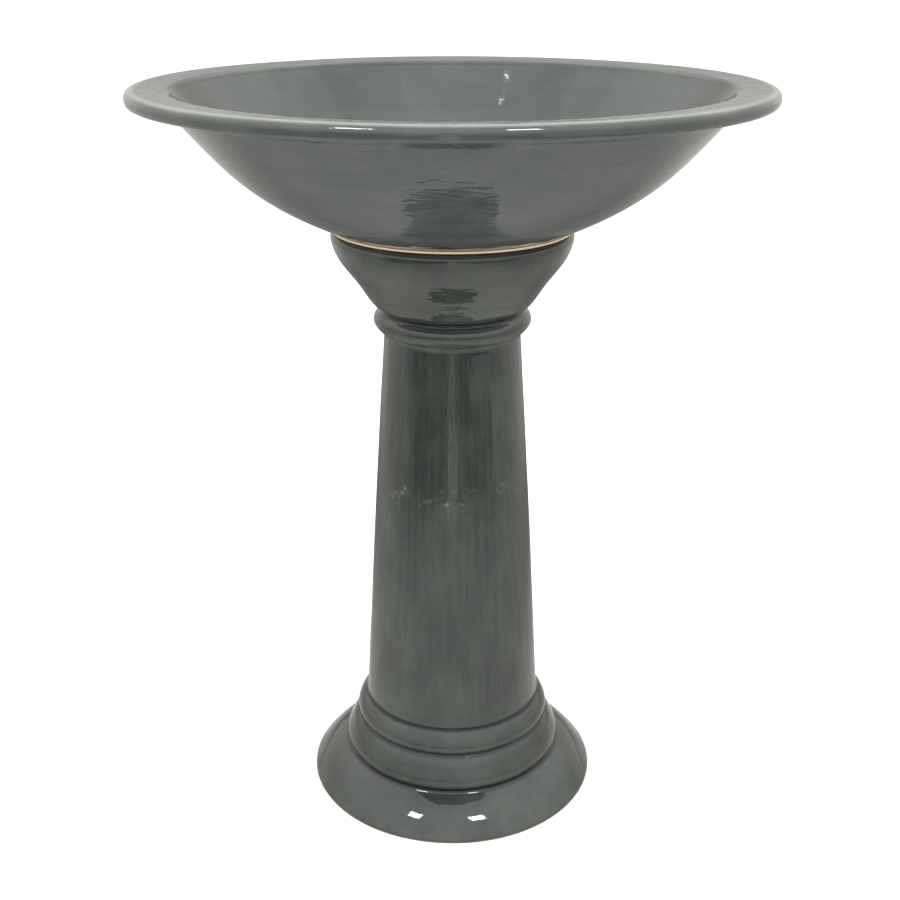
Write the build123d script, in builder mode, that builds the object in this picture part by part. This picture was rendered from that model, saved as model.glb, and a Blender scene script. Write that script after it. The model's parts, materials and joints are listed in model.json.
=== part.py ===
"""Two-piece glazed stoneware bird bath: a wide flanged bowl that lifts off a hollow turned pedestal.

Millimetres, +Z up. The origin is the centre of the pedestal's foot, on the ground, and +Z is the
axis that every turned profile is revolved about. A profile is drawn as (radius, height).
"""

from build123d import *

import os
from math import cos, radians, tan

# ---- pedestal: heights of the stacked stretches, from the ground up ----
PLATE_HEIGHT = 30.6  # domed foot plate, up to the lower groove
LOWER_MOULDING_HEIGHT = 29.4  # ovolo, lower groove to upper groove
UPPER_MOULDING_HEIGHT = 22.6  # half round, upper groove to the foot of the shaft
SHAFT_HEIGHT = 343.2
COLLAR_HEIGHT = 25.6  # neck ring with its cove, up to the collar groove
CAPITAL_HEIGHT = 66.9  # flared cup, collar groove to seat

# ---- pedestal: radii of the outside ----
FOOT_RADIUS = 132.0
PLATE_TOP_RADIUS = 98.8
LOWER_MOULDING_RADIUS = 99.8
UPPER_GROOVE_RADIUS = 86.4
UPPER_MOULDING_RADIUS = 88.5
SHAFT_BOTTOM_RADIUS = 79.8
SHAFT_TOP_RADIUS = 58.4
COLLAR_RADIUS = 66.9
COLLAR_GROOVE_RADIUS = 61.0
LIP_RADIUS = 100.8

# ---- pedestal: shape of each stretch ----
FOOT_EDGE_HEIGHT = 2.2  # upright bare edge that stands on the ground
FOOT_EDGE_SLANT = 0.5
PLATE_CROWN = 1.5  # how far the plate's dome stands off its chord
LOWER_MOULDING_BELLY = 5.0  # height of its widest ring above the lower groove
LOWER_MOULDING_SLOPE = ((0.26, 0.45), (0.59, 0.78))  # shares of the way in and up from its widest ring
UPPER_MOULDING_BELLY = 3.8  # height of its widest ring above the upper groove
UPPER_MOULDING_SLOPE = (0.34, 0.61)  # share of the way in and up from its widest ring
SHAFT_SWELL = 0.6  # entasis at mid height
COVE_HEIGHT = 6.6  # hollow between the shaft and the collar
COVE_SPREAD = 1.5
COLLAR_BELLY = 17.5  # height of the collar's widest ring above the shaft
CAPITAL_FLARE = ((0.0, 0.0), (0.46, 0.378), (0.925, 0.812))  # shares of its width and height
CAPITAL_SHOULDER = 4.5  # rounding between the lip and the seat
GROOVE_ROUND = 0.7
SEAT_EDGE_ROUND = 2.0

# ---- pedestal: inside ----
PEDESTAL_WALL = 11.0
FOOT_WIDTH = 15.0  # flat ring that stands on the ground
SEAT_WIDTH = 13.5  # flat ring that carries the bowl
MOUTH_DEPTH = 19.0  # straight mouth below the seat

# ---- bumper pads between the pedestal's seat and the bowl's foot ----
PAD_COUNT = 4
PAD_THICKNESS = 1.0
PAD_RADIUS = 4.2
PAD_EDGE = 0.25

# ---- bowl ----
BOWL_HEIGHT = 114.7
RIM_RADIUS = 253.6
FOOT_SETBACK = 0.4  # bowl's foot ring inside the pedestal's lip
FOOT_RING_HEIGHT = 2.1
BOWL_WALL = 10.5
WALL_CURVE = ((0.0, 0.0), (0.203, 0.121), (0.409, 0.271), (0.616, 0.472), (0.782, 0.683), (1.0, 1.0))
WALL_START_RISE = 0.56  # direction at the foot, as a share of the wall's own diagonal
WALL_END_RISE = 1.46  # direction at the flange, as a share of the wall's own diagonal
FLANGE_REACH = 32.2  # from the outside of the wall to the edge of the rim
FLANGE_THICKNESS = 11.4
FLANGE_DISH = 3.5  # degrees that the flange's top falls inward
FLANGE_UNDERCUT = 6.0  # how far its underside falls inward
NOSE_ROUND_TOP = 5.8
NOSE_ROUND_BOTTOM = 4.6
FLANGE_ROOT_ROUND = 9.0
INNER_LIP_ROUND = 8.0
FLOOR_THICKNESS = 11.0
FLOOR_DROP = 8.0  # underside of the floor below the foot ring
FLOOR_DISH = 5.0  # rise of the floor from the centre to the locating ring

# ---- bowl: locating ring that drops into the pedestal's mouth ----
RING_CLEARANCE = 4.0
RING_WIDTH = 8.5
RING_DEPTH = 14.0
RING_ROUND = 2.0

# ---- heights and radii that follow ----
LOWER_GROOVE_Z = PLATE_HEIGHT
UPPER_GROOVE_Z = LOWER_GROOVE_Z + LOWER_MOULDING_HEIGHT
SHAFT_BOTTOM_Z = UPPER_GROOVE_Z + UPPER_MOULDING_HEIGHT
SHAFT_TOP_Z = SHAFT_BOTTOM_Z + SHAFT_HEIGHT
COLLAR_GROOVE_Z = SHAFT_TOP_Z + COLLAR_HEIGHT
SEAT_Z = COLLAR_GROOVE_Z + CAPITAL_HEIGHT
BOWL_FOOT_Z = SEAT_Z + PAD_THICKNESS
RIM_Z = BOWL_FOOT_Z + BOWL_HEIGHT
SHOULDER_RADIUS = LIP_RADIUS - CAPITAL_SHOULDER
MOUTH_RADIUS = SHOULDER_RADIUS - SEAT_WIDTH
PAD_CIRCLE_RADIUS = (SHOULDER_RADIUS + MOUTH_RADIUS) / 2
BOWL_FOOT_RADIUS = LIP_RADIUS - FOOT_SETBACK
RING_RADIUS = MOUTH_RADIUS - RING_CLEARANCE
RING_BORE_RADIUS = RING_RADIUS - RING_WIDTH


def along(start, end, shares):
    """Point at the given shares of the way across and up from start to end."""
    return (start[0] + shares[0] * (end[0] - start[0]), start[1] + shares[1] * (end[1] - start[1]))


def bowed(start, end, bow):
    """Middle of the chord from start to end, moved to the left of its direction by bow."""
    chord = Vector(*end) - Vector(*start)
    left = Vector(-chord.Y, chord.X).normalized()
    return (Vector(*start) + Vector(*end)) * 0.5 + left * bow


def inside(curve, share, wall):
    """Point a wall's thickness to the left of a curve, at a share of the curve's length."""
    heading = curve % share
    return (curve @ share) + Vector(-heading.Y, heading.X).normalized() * wall


def ring_at(part, corner):
    """Circular edge of a turned part that lies at a known radius and height."""
    circles = part.edges().filter_by(GeomType.CIRCLE)
    return circles.sort_by(lambda edge: abs(edge.radius - corner[0]) + abs(edge.arc_center.Z - corner[1]))[0]


# ================= pedestal =================
foot_edge_top = (FOOT_RADIUS - FOOT_EDGE_SLANT, FOOT_EDGE_HEIGHT)
plate_top = (PLATE_TOP_RADIUS, LOWER_GROOVE_Z)
lower_belly = (LOWER_MOULDING_RADIUS, LOWER_GROOVE_Z + LOWER_MOULDING_BELLY)
upper_groove = (UPPER_GROOVE_RADIUS, UPPER_GROOVE_Z)
upper_belly = (UPPER_MOULDING_RADIUS, UPPER_GROOVE_Z + UPPER_MOULDING_BELLY)
shaft_bottom = (SHAFT_BOTTOM_RADIUS, SHAFT_BOTTOM_Z)
shaft_top = (SHAFT_TOP_RADIUS, SHAFT_TOP_Z)
cove_top = (SHAFT_TOP_RADIUS + COVE_SPREAD, SHAFT_TOP_Z + COVE_HEIGHT)
collar_belly = (COLLAR_RADIUS, SHAFT_TOP_Z + COLLAR_BELLY)
collar_groove = (COLLAR_GROOVE_RADIUS, COLLAR_GROOVE_Z)
lip = (LIP_RADIUS, SEAT_Z - CAPITAL_SHOULDER)
mouth_top = (MOUTH_RADIUS, SEAT_Z)
mouth_bottom = (MOUTH_RADIUS, SEAT_Z - MOUTH_DEPTH)
foot_inside = (FOOT_RADIUS - FOOT_WIDTH, 0)

with BuildPart() as pedestal:
    with BuildSketch(Plane.XZ):
        with BuildLine():
            Line(foot_inside, (FOOT_RADIUS, 0))
            Line((FOOT_RADIUS, 0), foot_edge_top)
            ThreePointArc(foot_edge_top, bowed(foot_edge_top, plate_top, -PLATE_CROWN), plate_top)
            Spline(
                plate_top,
                lower_belly,
                *(along(lower_belly, upper_groove, shares) for shares in LOWER_MOULDING_SLOPE),
                upper_groove,
                tangents=((0.35, 1), (-1, 0.7)),
            )
            Spline(
                upper_groove,
                upper_belly,
                along(upper_belly, shaft_bottom, UPPER_MOULDING_SLOPE),
                shaft_bottom,
                tangents=((0.8, 1), (-1.1, 1)),
            )
            ThreePointArc(shaft_bottom, bowed(shaft_bottom, shaft_top, -SHAFT_SWELL), shaft_top)
            Spline(shaft_top, cove_top, tangents=((0, 1), (1, 0.75)))
            Spline(cove_top, collar_belly, collar_groove, tangents=((1, 0.75), (-1, 0.7)))
            capital = Spline(
                *(along(collar_groove, lip, shares) for shares in CAPITAL_FLARE),
                lip,
                tangents=((1, 0.8), (0.12, 1)),
            )
            CenterArc((SHOULDER_RADIUS, lip[1]), CAPITAL_SHOULDER, 0, 90)
            Line((SHOULDER_RADIUS, SEAT_Z), mouth_top)
            Line(mouth_top, mouth_bottom)
            Spline(
                mouth_bottom,
                inside(capital, 0.42, PEDESTAL_WALL),
                (COLLAR_GROOVE_RADIUS - PEDESTAL_WALL, COLLAR_GROOVE_Z),
                (SHAFT_TOP_RADIUS - PEDESTAL_WALL, SHAFT_TOP_Z),
                tangents=((-0.5, -1), (0.06, -1)),
            )
            Line(
                (SHAFT_TOP_RADIUS - PEDESTAL_WALL, SHAFT_TOP_Z),
                (SHAFT_BOTTOM_RADIUS - PEDESTAL_WALL, SHAFT_BOTTOM_Z),
            )
            Spline(
                (SHAFT_BOTTOM_RADIUS - PEDESTAL_WALL, SHAFT_BOTTOM_Z),
                (UPPER_GROOVE_RADIUS - PEDESTAL_WALL, UPPER_GROOVE_Z),
                (PLATE_TOP_RADIUS - PEDESTAL_WALL, LOWER_GROOVE_Z),
                foot_inside,
                tangents=((0.06, -1), (0.5, -1)),
            )
        make_face()
    revolve(axis=Axis.Z)
    for groove in (plate_top, upper_groove, collar_groove):
        fillet(ring_at(pedestal, groove), GROOVE_ROUND)
    fillet(ring_at(pedestal, mouth_top), SEAT_EDGE_ROUND)
pedestal.part.label = "pedestal"

# ================= bumper pads =================
with BuildPart() as bumper_pads:
    with BuildSketch(Plane.XY.offset(SEAT_Z)):
        with PolarLocations(PAD_CIRCLE_RADIUS, PAD_COUNT, start_angle=180 / PAD_COUNT):
            Circle(PAD_RADIUS)
    extrude(amount=PAD_THICKNESS)
    chamfer(bumper_pads.edges().filter_by(GeomType.CIRCLE), PAD_EDGE)
bumper_pads.part.label = "bumper_pads"

# ================= bowl =================
foot_ring_top = (BOWL_FOOT_RADIUS, BOWL_FOOT_Z + FOOT_RING_HEIGHT)
nose_drop = NOSE_ROUND_TOP * (tan(radians(FLANGE_DISH)) + 1 / cos(radians(FLANGE_DISH)) - 1)
nose_top = (RIM_RADIUS, RIM_Z + nose_drop)
nose_bottom = (RIM_RADIUS, RIM_Z - FLANGE_THICKNESS)
flange_root = (RIM_RADIUS - FLANGE_REACH, nose_bottom[1] - FLANGE_UNDERCUT)
floor_z = BOWL_FOOT_Z - FLOOR_DROP + FLOOR_THICKNESS
ring_root_z = BOWL_FOOT_Z - FLOOR_DROP + FLOOR_DISH

with BuildPart() as bowl:
    with BuildSketch(Plane.XZ):
        with BuildLine():
            wall_width = flange_root[0] - foot_ring_top[0]
            wall_rise = flange_root[1] - foot_ring_top[1]
            wall = Spline(
                *(along(foot_ring_top, flange_root, shares) for shares in WALL_CURVE),
                tangents=(
                    (wall_width, WALL_START_RISE * wall_rise),
                    (wall_width, WALL_END_RISE * wall_rise),
                ),
            )
            Line(flange_root, nose_bottom)
            Line(nose_bottom, nose_top)
            wall_end = inside(wall, 1.0, BOWL_WALL)
            lip_slope = tan(radians(FLANGE_DISH))
            wall_slope = WALL_END_RISE * wall_rise / wall_width
            lip_gap = nose_top[1] - (RIM_RADIUS - wall_end.X) * lip_slope - wall_end.Y
            lip_run = lip_gap / (wall_slope - lip_slope)
            inner_lip = (wall_end.X + lip_run, wall_end.Y + wall_slope * lip_run)
            Line(nose_top, inner_lip)
            Line(inner_lip, (wall_end.X, wall_end.Y))
            Spline(
                (wall_end.X, wall_end.Y),
                inside(wall, 0.78, BOWL_WALL),
                inside(wall, 0.55, BOWL_WALL),
                inside(wall, 0.3, BOWL_WALL),
                (RING_BORE_RADIUS, floor_z + FLOOR_DISH),
                (0, floor_z),
                tangents=((-wall_width, -WALL_END_RISE * wall_rise), (-1, 0)),
            )
            Line((0, floor_z), (0, BOWL_FOOT_Z - FLOOR_DROP))
            TangentArc((0, BOWL_FOOT_Z - FLOOR_DROP), (RING_BORE_RADIUS, ring_root_z), tangent=(1, 0))
            Line((RING_BORE_RADIUS, ring_root_z), (RING_BORE_RADIUS, BOWL_FOOT_Z - RING_DEPTH))
            Line((RING_BORE_RADIUS, BOWL_FOOT_Z - RING_DEPTH), (RING_RADIUS, BOWL_FOOT_Z - RING_DEPTH))
            Line((RING_RADIUS, BOWL_FOOT_Z - RING_DEPTH), (RING_RADIUS, BOWL_FOOT_Z))
            Line((RING_RADIUS, BOWL_FOOT_Z), (BOWL_FOOT_RADIUS, BOWL_FOOT_Z))
            Line((BOWL_FOOT_RADIUS, BOWL_FOOT_Z), foot_ring_top)
        make_face()
    revolve(axis=Axis.Z)
    fillet(ring_at(bowl, flange_root), FLANGE_ROOT_ROUND)
    fillet(ring_at(bowl, nose_bottom), NOSE_ROUND_BOTTOM)
    fillet(ring_at(bowl, nose_top), NOSE_ROUND_TOP)
    fillet(ring_at(bowl, inner_lip), INNER_LIP_ROUND)
    for ring_corner in (
        (RING_BORE_RADIUS, BOWL_FOOT_Z - RING_DEPTH),
        (RING_RADIUS, BOWL_FOOT_Z - RING_DEPTH),
        (RING_RADIUS, BOWL_FOOT_Z),
        (RING_BORE_RADIUS, ring_root_z),
    ):
        fillet(ring_at(bowl, ring_corner), RING_ROUND)
bowl.part.label = "bowl"

os.makedirs("parts", exist_ok=True)
export_step(pedestal.part, "parts/pedestal.step")
export_step(bumper_pads.part, "parts/bumper_pads.step")
export_step(bowl.part, "parts/bowl.step")
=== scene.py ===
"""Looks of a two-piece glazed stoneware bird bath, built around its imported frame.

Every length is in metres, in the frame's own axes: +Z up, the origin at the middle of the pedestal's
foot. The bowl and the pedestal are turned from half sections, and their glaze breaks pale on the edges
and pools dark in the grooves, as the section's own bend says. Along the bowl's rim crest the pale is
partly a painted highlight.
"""

from __future__ import annotations

import json
import logging
import math
from dataclasses import dataclass, field
from enum import Enum
from typing import Any, Sequence

import bmesh
import bpy
import numpy as np
from mathutils import Matrix, Vector, noise

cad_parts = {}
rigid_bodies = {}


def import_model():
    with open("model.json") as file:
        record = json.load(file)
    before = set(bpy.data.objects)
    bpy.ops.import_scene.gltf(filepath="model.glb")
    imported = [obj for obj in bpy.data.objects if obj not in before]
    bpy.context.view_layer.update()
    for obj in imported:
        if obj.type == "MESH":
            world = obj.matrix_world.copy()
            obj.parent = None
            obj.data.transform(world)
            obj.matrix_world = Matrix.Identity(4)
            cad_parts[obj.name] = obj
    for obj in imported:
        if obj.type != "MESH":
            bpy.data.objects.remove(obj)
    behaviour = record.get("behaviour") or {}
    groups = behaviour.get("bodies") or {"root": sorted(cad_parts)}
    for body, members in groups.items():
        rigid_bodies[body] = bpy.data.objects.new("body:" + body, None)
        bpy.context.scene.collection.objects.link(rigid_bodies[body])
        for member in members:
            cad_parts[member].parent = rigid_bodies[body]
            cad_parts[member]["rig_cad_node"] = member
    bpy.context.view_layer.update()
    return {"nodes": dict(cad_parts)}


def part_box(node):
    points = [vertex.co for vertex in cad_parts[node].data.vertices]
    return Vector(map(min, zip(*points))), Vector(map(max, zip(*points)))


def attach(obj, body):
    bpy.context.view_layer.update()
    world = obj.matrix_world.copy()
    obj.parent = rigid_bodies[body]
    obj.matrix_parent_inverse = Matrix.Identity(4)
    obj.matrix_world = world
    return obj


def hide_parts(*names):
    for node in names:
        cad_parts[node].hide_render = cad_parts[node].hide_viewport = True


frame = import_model()

LOG = logging.getLogger("bird_bath")

FLOW_LAYER = "glaze_flow"
BARE_LAYER = "bare_clay"
# Share of the pale glaze break and the painted highlight along the bowl's rim crest.
BREAK_AND_SHEEN_LAYER = "glaze_break_and_sheen"
CALM_LAYER = "glaze_calm"

Point = tuple[float, float]
Colour = tuple[float, float, float, float]


# --------------------------------------------------------------------------------------------------
# Shader building
# --------------------------------------------------------------------------------------------------


class Wire:
    """A shader socket that takes part in Python arithmetic, each operation adding a Math node."""

    def __init__(self, kit: ShaderKit, socket: bpy.types.NodeSocket) -> None:
        """Keep the builder and the socket.

        Args:
            kit: The node tree's builder.
            socket: The output socket that carries the value.
        """
        self.kit = kit
        self.socket = socket

    def __abs__(self) -> Wire:
        """Size without sign."""
        return self._with("ABSOLUTE", self)

    def _with(self, operation: str, *values: Wire | float) -> Wire:
        """Add one Math node on these values."""
        return self.kit.math(operation, *values)

    def __add__(self, other: Wire | float) -> Wire:
        """Sum."""
        return self._with("ADD", self, other)

    def __radd__(self, other: float) -> Wire:
        """Sum, with the number first."""
        return self._with("ADD", other, self)

    def __sub__(self, other: Wire | float) -> Wire:
        """Difference."""
        return self._with("SUBTRACT", self, other)

    def __rsub__(self, other: float) -> Wire:
        """Difference, with the number first."""
        return self._with("SUBTRACT", other, self)

    def __mul__(self, other: Wire | float) -> Wire:
        """Product."""
        return self._with("MULTIPLY", self, other)

    def __rmul__(self, other: float) -> Wire:
        """Product, with the number first."""
        return self._with("MULTIPLY", other, self)

    def __truediv__(self, other: Wire | float) -> Wire:
        """Quotient."""
        return self._with("DIVIDE", self, other)

    def __pow__(self, other: Wire | float) -> Wire:
        """Power."""
        return self._with("POWER", self, other)

    def at_least(self, other: Wire | float) -> Wire:
        """The larger of this value and another."""
        return self._with("MAXIMUM", self, other)

    def stepped(self, low: float, high: float) -> Wire:
        """A smooth rise, or a fall where low is the larger.

        Args:
            low: The value that gives 0.
            high: The value that gives 1.

        Returns:
            The share, from 0 to 1.
        """
        settings = {"interpolation_type": "SMOOTHSTEP"}
        ends = (low, high, 0.0, 1.0) if low < high else (high, low, 1.0, 0.0)
        names = ("From Min", "From Max", "To Min", "To Max")
        return self.kit.node("ShaderNodeMapRange", settings, {"Value": self, **dict(zip(names, ends))})


class ShaderKit:
    """Builds one material's node tree."""

    def __init__(self, name: str) -> None:
        """Make the material with an empty tree.

        Args:
            name: The material's name.
        """
        self.material = bpy.data.materials.new(name)
        self.material.use_nodes = True
        self.tree = self.material.node_tree
        self.tree.nodes.clear()

    @classmethod
    def on(cls, tree: bpy.types.NodeTree) -> ShaderKit:
        """Build on a tree that exists, such as the world's.

        Args:
            tree: The tree, which is emptied first.

        Returns:
            Its builder.
        """
        kit = cls.__new__(cls)
        kit.tree = tree
        tree.nodes.clear()
        return kit

    def raw(self, kind: str, settings: dict[str, Any], inputs: dict[str, Any]) -> bpy.types.Node:
        """Add a node.

        Args:
            kind: The node's type.
            settings: Its properties, set before its sockets.
            inputs: Values, or wires to link, by socket name.

        Returns:
            The new node.
        """
        made = self.tree.nodes.new(kind)
        for key, value in settings.items():
            setattr(made, key, value)
        for key, value in inputs.items():
            self.feed(made, key, value)
        return made

    def feed(self, made: bpy.types.Node, key: str | int, value: Any) -> None:
        """Set or link one input socket of a node.

        Args:
            made: The node.
            key: The socket's name or place.
            value: A value to set, or a wire to link.
        """
        socket = made.inputs[key]
        if isinstance(value, Wire):
            self.tree.links.new(value.socket, socket)
        else:
            socket.default_value = value

    def node(self, kind: str, settings: dict[str, Any], inputs: dict[str, Any], out: str | int = 0) -> Wire:
        """Add a node and return one of its outputs.

        Args:
            kind: The node's type.
            settings: Its properties.
            inputs: Values or wires by socket name.
            out: The output's name or place.

        Returns:
            The output as a wire.
        """
        return Wire(self, self.raw(kind, settings, inputs).outputs[out])

    def math(self, operation: str, *values: Wire | float) -> Wire:
        """Add a Math node.

        Args:
            operation: What it does.
            *values: One to three values or wires.

        Returns:
            Its result.
        """
        made = self.raw("ShaderNodeMath", {"operation": operation}, {})
        for place, value in enumerate(values):
            self.feed(made, place, value)
        return Wire(self, made.outputs[0])

    def blend(self, share: Wire | float, first: Any, second: Any) -> Wire:
        """Mix two colours.

        Args:
            share: Share of the second, held between 0 and 1.
            first: A colour or a wire.
            second: A colour or a wire.

        Returns:
            The mixed colour.
        """
        made = self.raw("ShaderNodeMix", {"data_type": "RGBA", "clamp_factor": True}, {})
        for place, value in ((0, share), (6, first), (7, second)):
            self.feed(made, place, value)
        return Wire(self, made.outputs[2])

    def place(self) -> Wire:
        """The piece's own Object coordinates."""
        return self.node("ShaderNodeTexCoord", {}, {}, "Object")

    def scaled(self, where: Wire, scale: Sequence[float]) -> Wire:
        """Coordinates stretched along each axis."""
        return self.node("ShaderNodeVectorMath", {"operation": "MULTIPLY"}, {0: where, 1: tuple(scale)})

    def axes(self, where: Wire) -> tuple[Wire, Wire, Wire]:
        """The three parts of a coordinate."""
        made = self.raw("ShaderNodeSeparateXYZ", {}, {"Vector": where})
        return tuple(Wire(self, made.outputs[i]) for i in range(3))

    def joined(self, x: Wire, y: Wire, z: Wire) -> Wire:
        """A coordinate made of three parts."""
        return self.node("ShaderNodeCombineXYZ", {}, {"X": x, "Y": y, "Z": z})

    def cloud(self, where: Wire, scale: float, detail: float = 2.0, rough: float = 0.5) -> Wire:
        """Smooth noise.

        Args:
            where: The coordinates that it is taken at.
            scale: Its size, as waves per unit.
            detail: Number of finer layers.
            rough: Strength of each finer layer.

        Returns:
            The noise, from about 0 to 1.
        """
        inputs = {"Vector": where, "Scale": scale, "Detail": detail, "Roughness": rough}
        return self.node("ShaderNodeTexNoise", {}, inputs)

    def layer(self, name: str) -> Wire:
        """A number that the piece's mesh carries at each point."""
        return self.node("ShaderNodeAttribute", {"attribute_name": name}, {}, "Fac")

    def bump(self, height: Wire, distance: float, under: Wire | None = None) -> Wire:
        """A bumped normal.

        Args:
            height: The relief, about 0 to 1.
            distance: How deep the whole relief is, in metres.
            under: A normal to add to.

        Returns:
            The normal.
        """
        inputs = {"Height": height, "Distance": distance, "Strength": 1.0}
        if under is not None:
            inputs["Normal"] = under
        return self.node("ShaderNodeBump", {}, inputs)

    def surface(self, **sockets: Any) -> bpy.types.Material:
        """Finish the tree with a Principled shader.

        Args:
            **sockets: Values or wires, by socket name with spaces as underscores.

        Returns:
            The material.
        """
        named = {key.replace("_", " "): value for key, value in sockets.items()}
        shader = self.node("ShaderNodeBsdfPrincipled", {}, named)
        self.raw("ShaderNodeOutputMaterial", {}, {"Surface": shader})
        return self.material


# --------------------------------------------------------------------------------------------------
# Finishes
# --------------------------------------------------------------------------------------------------


class Turning:
    """Coordinates that follow a turned piece, for patterns that lie round it or run down it."""

    def __init__(self, kit: ShaderKit) -> None:
        """Take the piece's own coordinates apart.

        Args:
            kit: The material's builder.
        """
        self.kit = kit
        self.where = kit.place()
        self.across, self.deep, self.up = kit.axes(self.where)
        self.radius = (self.across * self.across + self.deep * self.deep) ** 0.5

    def around(self, flat: float, along: float) -> Wire:
        """Coordinates that draw a pattern out round the piece.

        Args:
            flat: Its scale round the piece.
            along: Its scale along the section.

        Returns:
            The coordinates.
        """
        return self.kit.joined(self.across * flat, self.deep * flat, (self.up + self.radius) * along)

    def upright(self) -> Wire:
        """Coordinates that draw a pattern out down the piece."""
        core = self.radius.at_least(0.01)
        return self.kit.joined(self.across / core * 9, self.deep / core * 9, self.up * 9)


@dataclass(frozen=True)
class Glaze:
    """Grey-green gloss glaze over buff stoneware, bare where the piece carries BARE_LAYER.

    Attributes:
        body: Colour of the glaze at its usual thickness.
        mottle: Colour of the paler clouds in it.
        thin: Colour where it runs thin on an edge.
        pale: Colour where it breaks along a crest.
        pool: Colour where it pools in a groove.
        clay: Colour of the bare clay.
        clay_dark: Colour of the soiled clay.
        gloss: Roughness of the clean glaze.
        breaking: How strongly it pales on an edge.
        soil: How much of the bare clay is soiled.
        drips: Depth of the upright runs in it.
        rings: Depth of the fine rings left by turning.
        swell: Depth of its slow unevenness.
        peel: Depth of its fine unevenness.
        grit: Depth of the bare clay's grain.
        clay_gloss: Roughness of the bare clay.
        runs_from: Heights between which the upright runs set in.
        runs_to: Heights between which they end.
        rub_height: Height of a band of rub marks, or None.
        rub: Colour of a rub mark.
        rub_share: How strongly it shows.
    """

    body: Colour = (0.018, 0.0215, 0.0190, 1.0)
    mottle: Colour = (0.040, 0.046, 0.040, 1.0)
    thin: Colour = (0.150, 0.150, 0.125, 1.0)
    pale: Colour = (0.178, 0.175, 0.154, 1.0)
    pool: Colour = (0.004, 0.0055, 0.0075, 1.0)
    clay: Colour = (0.54, 0.43, 0.29, 1.0)
    clay_dark: Colour = (0.17, 0.11, 0.065, 1.0)
    gloss: float = 0.045
    breaking: float = 0.06
    soil: float = 0.15
    drips: float = 0.0006
    rings: float = 0.000008
    swell: float = 0.00045
    peel: float = 0.00003
    grit: float = 0.00012
    clay_gloss: float = 0.82
    runs_from: tuple[float, float] = (0.085, 0.12)
    runs_to: tuple[float, float] = (0.45, 0.42)
    rub_height: float | None = None
    rub: Colour = (0.28, 0.27, 0.235, 1.0)
    rub_share: float = 0.26

    def material(self, name: str) -> bpy.types.Material:
        """Make the finish's material.

        Args:
            name: The material's name.

        Returns:
            The material.
        """
        kit = ShaderKit(name)
        lie = Turning(kit)
        shaft = lie.up.stepped(*self.runs_from) * lie.up.stepped(*self.runs_to)
        grain = kit.cloud(lie.where, 1800.0, 2.0, 0.7)
        ragged = kit.cloud(kit.scaled(lie.where, (1, 1, 1.6)), 900.0, 3.0, 0.6)
        bare = (kit.layer(BARE_LAYER) + (ragged - 0.5) * 0.7).stepped(0.42, 0.58)
        rub = self.rub_marks(lie)
        wear = kit.cloud(lie.where, 35.0, 5.0, 0.6).stepped(0.5, 0.85)
        rough = self.gloss + wear * 0.035 + rub * 0.3
        return kit.surface(
            Base_Color=kit.blend(bare, self.tint(lie, shaft, rub), self.bare_clay(lie, grain)),
            Roughness=rough * (1 - bare) + bare * self.clay_gloss,
            IOR=1.5,
            Normal=self.relief(lie, shaft, grain * bare),
        )

    def clouds(self, lie: Turning, shaft: Wire) -> Wire:
        """Paler clouds in the glaze, brushed down the shaft and round the rest.

        Args:
            lie: The piece's coordinates.
            shaft: 1 on the shaft and 0 elsewhere.

        Returns:
            Their share.
        """
        blotches = lie.kit.cloud(lie.kit.scaled(lie.where, (1, 1, 0.55)), 26.0, 5.0, 0.6).stepped(0.36, 0.70)
        brushed = lie.kit.cloud(lie.upright(), 2.0, 4.0, 0.6) * shaft
        brushed = brushed + lie.kit.cloud(lie.around(5, 45), 2.0, 4.0, 0.6) * (1 - shaft)
        return blotches * 0.6 + brushed.stepped(0.35, 0.72) * 0.4

    def tint(self, lie: Turning, shaft: Wire, rub: Wire | float) -> Wire:
        """Colour of the glaze by how it lies, pale on an edge and dark in a groove, and a painted crest
        highlight.

        Args:
            lie: The piece's coordinates.
            shaft: 1 on the shaft and 0 elsewhere.
            rub: Share of the rub marks.

        Returns:
            The colour.
        """
        kit = lie.kit
        flow = kit.layer(FLOW_LAYER)
        clouds = self.clouds(lie, shaft)
        specks = kit.cloud(lie.where, 750.0, 2.0, 0.6).stepped(0.66, 0.78)
        thin = (flow + (clouds - 0.5) * 0.25).stepped(0.45, 1.10)
        pooled = (0 - flow + (clouds - 0.5) * 0.2).stepped(0.32, 0.62)
        # Along the rim's crest: partly the glaze breaking pale, partly a painted highlight for the sheen
        # there.
        crest_break_and_sheen = (kit.layer(BREAK_AND_SHEEN_LAYER) + (clouds - 0.5) * 0.25).stepped(0.10, 0.95)
        glaze = kit.blend(clouds, self.body, self.mottle)
        glaze = kit.blend(specks * 0.2, glaze, self.thin)
        glaze = kit.blend(thin * self.breaking, glaze, self.thin)
        glaze = kit.blend(pooled * 0.95, glaze, self.pool)
        glaze = kit.blend(crest_break_and_sheen, glaze, self.pale)
        return glaze if self.rub_height is None else kit.blend(rub * self.rub_share, glaze, self.rub)

    def bare_clay(self, lie: Turning, grain: Wire) -> Wire:
        """Colour of the bare clay.

        Args:
            lie: The piece's coordinates.
            grain: Its fine grain.

        Returns:
            The colour.
        """
        soil = lie.kit.cloud(lie.where, 60.0, 4.0, 0.6).stepped(0.62 - self.soil, 0.95 - self.soil)
        clay = lie.kit.blend(soil, self.clay, self.clay_dark)
        return lie.kit.blend((grain - 0.35) * 0.35, clay, self.clay_dark)

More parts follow.
